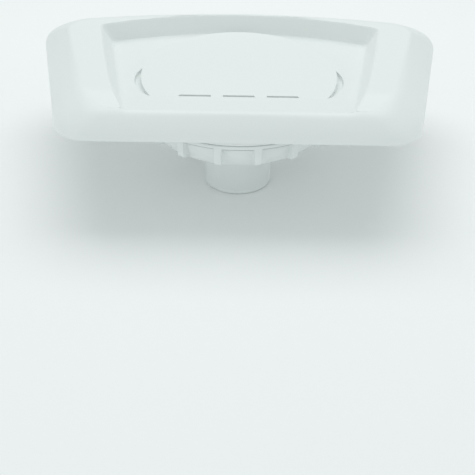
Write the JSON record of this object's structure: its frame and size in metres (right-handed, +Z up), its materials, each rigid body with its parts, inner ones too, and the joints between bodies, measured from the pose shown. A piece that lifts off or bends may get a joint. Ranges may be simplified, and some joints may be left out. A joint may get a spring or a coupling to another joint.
{
  "type": "tray funnel",
  "caption": "Wide moulded tray with a lift-out slotted deck on a ribbed bayonet drain bowl with a filter plate and an outlet spigot.",
  "frame": {"origin": "centre of the outlet bore at the spigot's lower end", "axes": "+Z up along the outlet's axis, +X along the tray's width, -Y toward the low front lip"},
  "size_m": [0.2548, 0.1585, 0.0822],
  "materials": {
    "tray_plastic": "white injection-moulded polypropylene, semi-gloss",
    "bowl_plastic": "white injection-moulded polypropylene, semi-gloss",
    "inner_plastic": "white moulded plastic, fine matt",
    "seal_rubber": "dark grey moulded rubber, matt",
    "paper": "soft white filter paper"
  },
  "bodies": {
    "bowl": {"drain_bowl": "bowl_plastic", "outlet_spigot": "bowl_plastic", "spigot_seal": "seal_rubber", "spider_nut": "bowl_plastic"},
    "gasket": {"rim_gasket": "seal_rubber"},
    "tray": {"tray": "tray_plastic"},
    "deck": {"deck": "tray_plastic"},
    "plate": {"filter_plate": "inner_plastic", "filter_paper": "paper"}
  },
  "joints": [
    {"name": "bayonet_turn", "type": "hinge", "parent": "bowl", "child": "gasket", "pos_m": [0, 0, 0.06], "axis": [0, 0, -1], "range_deg": [0, 14]},
    {"name": "tray_lift", "type": "slide", "parent": "gasket", "child": "tray", "axis": [0, 0, 1], "range_m": [0, 0.13]},
    {"name": "deck_lift", "type": "slide", "parent": "tray", "child": "deck", "axis": [0, 0, 1], "range_m": [0, 0.04]},
    {"name": "plate_lift", "type": "slide", "parent": "bowl", "child": "plate", "axis": [0, 0, 1], "range_m": [0, 0.0455]}
  ],
  "couplings": [
    {"joint": "plate_lift", "follows": "tray_lift", "ratio": 0.35}
  ]
}
